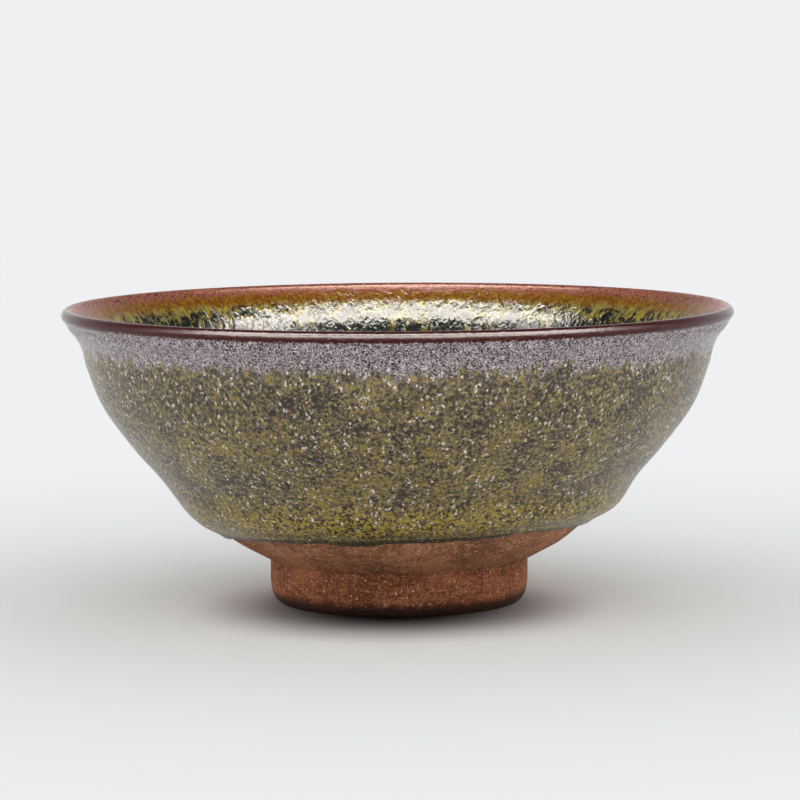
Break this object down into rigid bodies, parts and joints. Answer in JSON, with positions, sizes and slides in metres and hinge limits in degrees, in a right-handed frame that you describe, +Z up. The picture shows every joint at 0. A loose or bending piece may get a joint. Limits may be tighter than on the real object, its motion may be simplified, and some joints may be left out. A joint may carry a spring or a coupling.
{
  "type": "matcha bowl",
  "caption": "Footed stoneware tea bowl with a flared lip, tea-dust glaze inside and out, and a bare clay foot ring, for whisking and drinking matcha.",
  "frame": {"origin": "centre of the foot ring, on the surface that the bowl stands on", "axes": "+Z up along the bowl's axis of turning; +X and +Y are any two level directions, because the bowl is round"},
  "size_m": [0.13, 0.13, 0.0575],
  "materials": {
    "bare_clay": "unglazed iron-rich stoneware, fine grog",
    "foot_clay": "unglazed iron-rich stoneware, turned and wiped",
    "tea_dust_glaze": "olive tea-dust glaze, fine crystals, half gloss",
    "iron_red_glaze": "thin glaze broken to iron red, gloss",
    "inner_glaze": "tea-dust glaze, streaked, full gloss"
  },
  "bodies": {
    "root": {"clay_body": "bare_clay", "foot_ring": "foot_clay", "outer_glaze": "tea_dust_glaze", "lip_glaze": "iron_red_glaze", "inner_glaze": "inner_glaze"}
  },
  "joints": []
}
